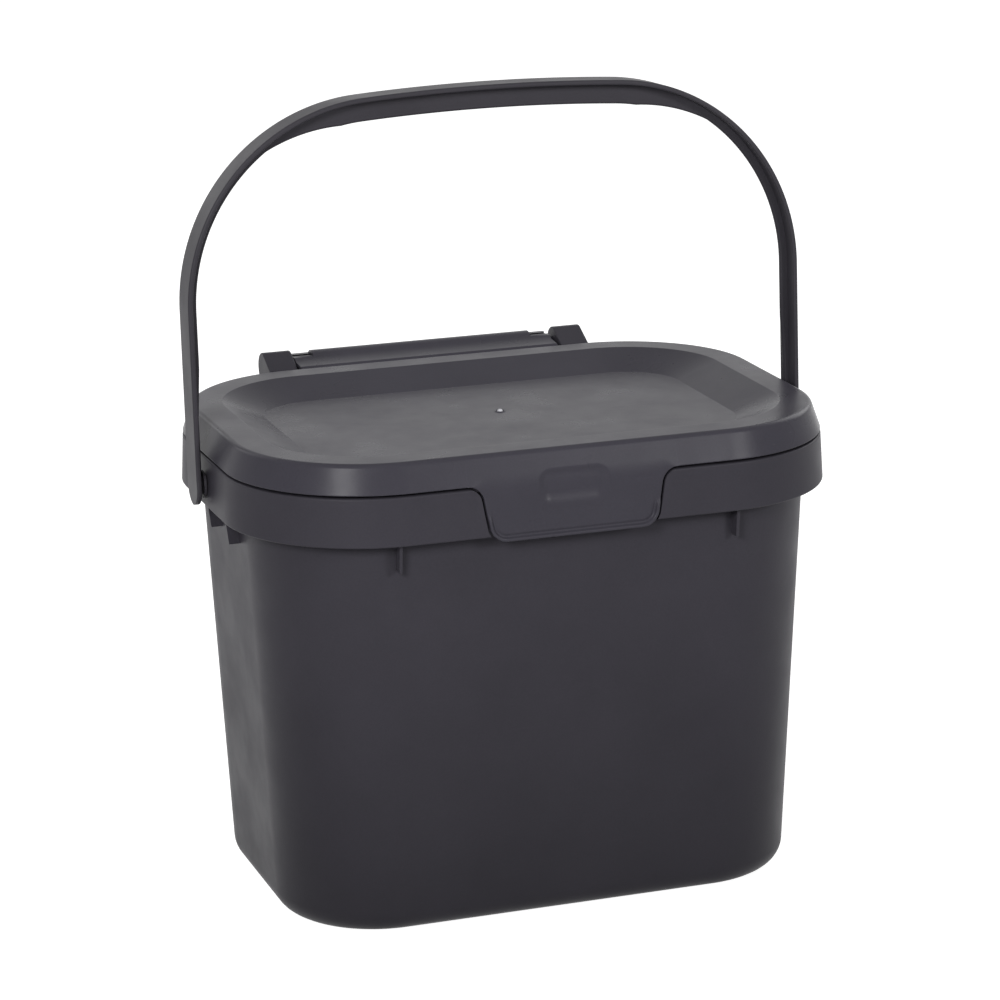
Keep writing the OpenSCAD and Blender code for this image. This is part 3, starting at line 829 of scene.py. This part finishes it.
def make_handle():
    """Handle with its band, web and pins, leaning back as it rests."""
    axis = (0, 0)
    leg_in = LEG_X - BOSS_T
    head_x = PAD_X - HEAD_GAP
    ends = [rod("stem", PIVOT_R, leg_in, LEG_X - BAND_T / 2, axis, 0.2),
            rod("spacer", PIVOT_R + SPACER_OUT, leg_in - SPACER_W, leg_in + PIN_SINK, axis, 0.2),
            rod("pin", PIVOT_R, head_x - HEAD_W, leg_in + PIN_SINK, axis, 0.3),
            rod("head", PIVOT_R + HEAD_OUT, head_x - HEAD_W, head_x, axis, 0.4)]
    obj = join("handle_moulding", [band(), middle_web()] + [mirror(e) for e in ends])
    lean = Matrix.Translation((0, 0, PIVOT_Z * MM)) @ Matrix.Rotation(math.radians(-LEAN), 4, "X")
    obj.data.transform(lean)
    return obj


# ---- Materials ----


class Nodes:
    """Short hand for making and linking shader nodes."""

    def __init__(self, tree):
        self.tree = tree

    def set(self, socket, value):
        """Links an output to the socket, or gives the socket that number or colour."""
        if isinstance(value, bpy.types.NodeSocket):
            self.tree.links.new(value, socket)
        else:
            socket.default_value = value

    def add(self, kind, **values):
        """New node, with values for its sockets and its settings."""
        node = self.tree.nodes.new(kind)
        for key, value in values.items():
            if key in node.inputs:
                self.set(node.inputs[key], value)
            else:
                setattr(node, key, value)
        return node

    def maths(self, operation, a, b):
        """Result of an operation on two numbers or outputs."""
        node = self.add("ShaderNodeMath", operation=operation)
        self.set(node.inputs[0], a)
        self.set(node.inputs[1], b)
        return node.outputs["Value"]

    def ranged(self, value, low, high, to_low, to_high):
        """The value with its range from low to high turned into the one from to_low to to_high."""
        node = self.add("ShaderNodeMapRange", Value=value)
        for socket, number in zip(node.inputs[1:5], (low, high, to_low, to_high)):
            socket.default_value = number
        return node.outputs["Result"]

    def noise(self, place, scale, detail, rough, stretch=(1, 1, 1)):
        """Noise at a place in the object, stretched along its axes."""
        vector = self.add("ShaderNodeMapping", Vector=place, Scale=stretch).outputs["Vector"]
        node = self.add("ShaderNodeTexNoise", Vector=vector, Scale=scale, Detail=detail, Roughness=rough)
        return node.outputs["Fac"]


def new_material(name):
    """Material with its node maker and its surface shader."""
    mat = bpy.data.materials.new(name)
    mat.use_nodes = True
    return mat, Nodes(mat.node_tree), mat.node_tree.nodes["Principled BSDF"]


def shown_directly(n):
    """1 for what the camera sees directly, reflected or through glass, and 0 for light on other things."""
    rays = n.add("ShaderNodeLightPath").outputs
    seen = n.maths("MAXIMUM", rays["Is Camera Ray"], rays["Is Glossy Ray"])
    return n.maths("MAXIMUM", seen, rays["Is Transmission Ray"])


def plastic(name, colour, roughness, foot=1.0):
    """Moulded plastic: cloudy tone, fine grain, faint scratches, paler rubbed edges, and a foot darkened by
    painted shade.
    """
    mat, n, shader = new_material(name)
    place = n.add("ShaderNodeTexCoord").outputs["Object"]
    cloud = n.ranged(n.noise(place, scale=22, detail=4, rough=0.6), 0.3, 0.7, *CLOUD)
    speck = n.ranged(n.noise(place, scale=1400, detail=2, rough=0.5), 0.3, 0.7, *SPECK)
    streaks = n.noise(place, scale=60, detail=2, rough=0.55, stretch=(0.5, 14, 14))
    scratch = n.ranged(streaks, 0.66, 0.8, 0, 1)
    edges = n.ranged(n.add("ShaderNodeNewGeometry").outputs["Pointiness"], 0.55, 0.65, 0, 1)
    height = n.add("ShaderNodeSeparateXYZ", Vector=place).outputs["Z"]

    tone = n.maths("MULTIPLY", cloud, speck)
    tone = n.maths("ADD", tone, n.maths("MULTIPLY", edges, EDGE_RUB))
    tone = n.maths("ADD", tone, n.maths("MULTIPLY", scratch, SCRATCH_RUB))
    # Painted shade: the tone falls towards the floor, down to the foot factor at height 0, standing in for
    # the shade near the floor
    tone = n.maths("MULTIPLY", tone, n.ranged(height, 0, PAINTED_SHADE_TOP, foot, 1))
    scale = n.add("ShaderNodeVectorMath", operation="SCALE")
    scale.inputs[0].default_value = colour
    n.set(scale.inputs["Scale"], tone)
    n.set(shader.inputs["Base Color"], scale.outputs["Vector"])

    worn = n.noise(place, scale=35, detail=3, rough=0.6)
    rub = n.ranged(worn, 0.35, 0.7, roughness - SMOOTHER, roughness + ROUGHER)
    n.set(shader.inputs["Roughness"], n.maths("ADD", rub, n.maths("MULTIPLY", scratch, SCRATCH_ROUGH)))
    shader.inputs["IOR"].default_value = PLASTIC_IOR
    shader.inputs["Specular IOR Level"].default_value = PLASTIC_SPECULAR

    grain = n.noise(place, scale=2600, detail=2, rough=0.6)
    peel = n.noise(place, scale=160, detail=2, rough=0.5)
    fine = n.add("ShaderNodeBump", Height=grain, Strength=0.25, Distance=0.00005).outputs["Normal"]
    both = n.add("ShaderNodeBump", Height=peel, Strength=0.2, Distance=0.0001, Normal=fine)
    n.set(shader.inputs["Normal"], both.outputs["Normal"])
    return mat


def floor_material():
    """White ground: it stays white to the camera where nothing shades it, and keeps the object's shadow."""
    mat, n, shader = new_material("white_ground")
    shader.inputs["Base Color"].default_value = (GROUND_GREY, GROUND_GREY, GROUND_GREY, 1)
    shader.inputs["Roughness"].default_value = GROUND_ROUGHNESS
    shader.inputs["Specular IOR Level"].default_value = 0
    shader.inputs["Emission Color"].default_value = (1, 1, 1, 1)
    n.set(shader.inputs["Emission Strength"], n.maths("MULTIPLY", shown_directly(n), GROUND_GLOW))
    return mat


# ---- Stage ----


def direction(azimuth, elevation):
    """Unit vector from the object towards that place round it; azimuth 0 is the front."""
    a, e = math.radians(azimuth), math.radians(elevation)
    return Vector((math.sin(a) * math.cos(e), -math.cos(a) * math.cos(e), math.sin(e)))


def make_camera():
    """Camera at the photograph's place, turned so that the base's centre falls where it does there."""
    back = direction(CAMERA_AZIMUTH, CAMERA_ELEVATION)
    a, roll = math.radians(CAMERA_AZIMUTH), math.radians(CAMERA_ROLL)
    level = Vector((math.cos(a), math.sin(a), 0))
    upright = back.cross(level)
    right = level * math.cos(roll) + upright * math.sin(roll)
    up = upright * math.cos(roll) - level * math.sin(roll)
    x = (ORIGIN_PX[0] - FRAME_PX / 2) * DISTANCE / FOCAL_PX
    y = (FRAME_PX / 2 - ORIGIN_PX[1]) * DISTANCE / FOCAL_PX
    place = back * DISTANCE - right * x - up * y
    camera = bpy.data.cameras.new("camera")
    camera.sensor_width = SENSOR
    camera.lens = FOCAL_PX / FRAME_PX * SENSOR
    camera.clip_end = 50
    obj = add_object("camera", camera)
    facing = Matrix((right, up, back)).transposed().to_4x4()
    obj.matrix_world = Matrix.Translation(place * MM) @ facing
    bpy.context.scene.camera = obj


def softbox(name, azimuth, elevation, distance, side, watts):
    """Square lamp that looks at the caddy."""
    lamp = bpy.data.lights.new(name, "AREA")
    lamp.shape = "SQUARE"
    lamp.size = side
    lamp.energy = watts
    obj = add_object(name, lamp)
    obj.location = Vector(AIM) + direction(azimuth, elevation) * distance
    obj.rotation_euler = (Vector(AIM) - obj.location).to_track_quat("-Z", "Y").to_euler()


def make_world():
    """White surround in the picture and in reflections, which lights matt surfaces at a lower level."""
    world = bpy.data.worlds.new("studio")
    world.use_nodes = True
    bpy.context.scene.world = world
    n = Nodes(world.node_tree)
    background = world.node_tree.nodes["Background"]
    background.inputs["Color"].default_value = (1, 1, 1, 1)
    n.set(background.inputs["Strength"], n.ranged(shown_directly(n), 0, 1, WORLD_LEVEL, 1))


def make_floor():
    """Floor that curves up into a backdrop behind the object."""
    start = FLOOR_BACK - BACKDROP_BEND
    line = [(FLOOR_FRONT, 0), (start, 0)]
    for a in np.linspace(0, math.pi / 2, 13)[1:]:
        line.append((start + BACKDROP_BEND * math.sin(a), BACKDROP_BEND - BACKDROP_BEND * math.cos(a)))
    line.append((FLOOR_BACK, BACKDROP_H))
    verts = [(x, y, z) for y, z in line for x in (-FLOOR_HALF, FLOOR_HALF)]
    mesh = bpy.data.meshes.new("floor")
    mesh.from_pydata(verts, [], [(2 * i, 2 * i + 1, 2 * i + 3, 2 * i + 2) for i in range(len(line) - 1)])
    mesh.shade_smooth()
    mesh.materials.append(floor_material())
    obj = add_object("floor", mesh)


# ---- Scene ----


def weigh_normals(obj):
    """Keeps the shading of flat faces flat beside their rounded edges."""
    step = obj.modifiers.new("weigh", "WEIGHTED_NORMAL")
    step.mode = "FACE_AREA"
    step.weight = 80
    step.keep_sharp = True
    apply_modifiers(obj)


def dress(obj, body, material):
    """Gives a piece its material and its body."""
    weigh_normals(obj)
    obj.data.materials.clear()
    obj.data.materials.append(material)
    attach(obj, body)
    return obj


make_camera()
make_world()
for name, values in LAMPS.items():
    softbox(name, *values)
make_floor()

# foot=0.6 paints shade on the tub's lower wall: its base colour darkens towards the floor
tub_look = plastic("tub_plastic", (0.031, 0.029, 0.036), 0.45, foot=0.6)
lid_look = plastic("lid_plastic", (0.036, 0.034, 0.043), 0.3)
handle_look = plastic("handle_plastic", (0.034, 0.032, 0.038), 0.42)
gate_look = plastic("gate_pale", (0.5, 0.5, 0.53), 0.5)
tub = dress(make_tub(), "tub", tub_look)
lid = dress(make_lid(), "lid", lid_look)
handle = dress(make_handle(), "handle", handle_look)
dress(gate_nub(), "lid", gate_look)
for obj, node in ((tub, "tub"), (lid, "lid"), (handle, "handle")):
    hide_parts(node)

scene = bpy.context.scene
scene.view_settings.view_transform = "Standard"
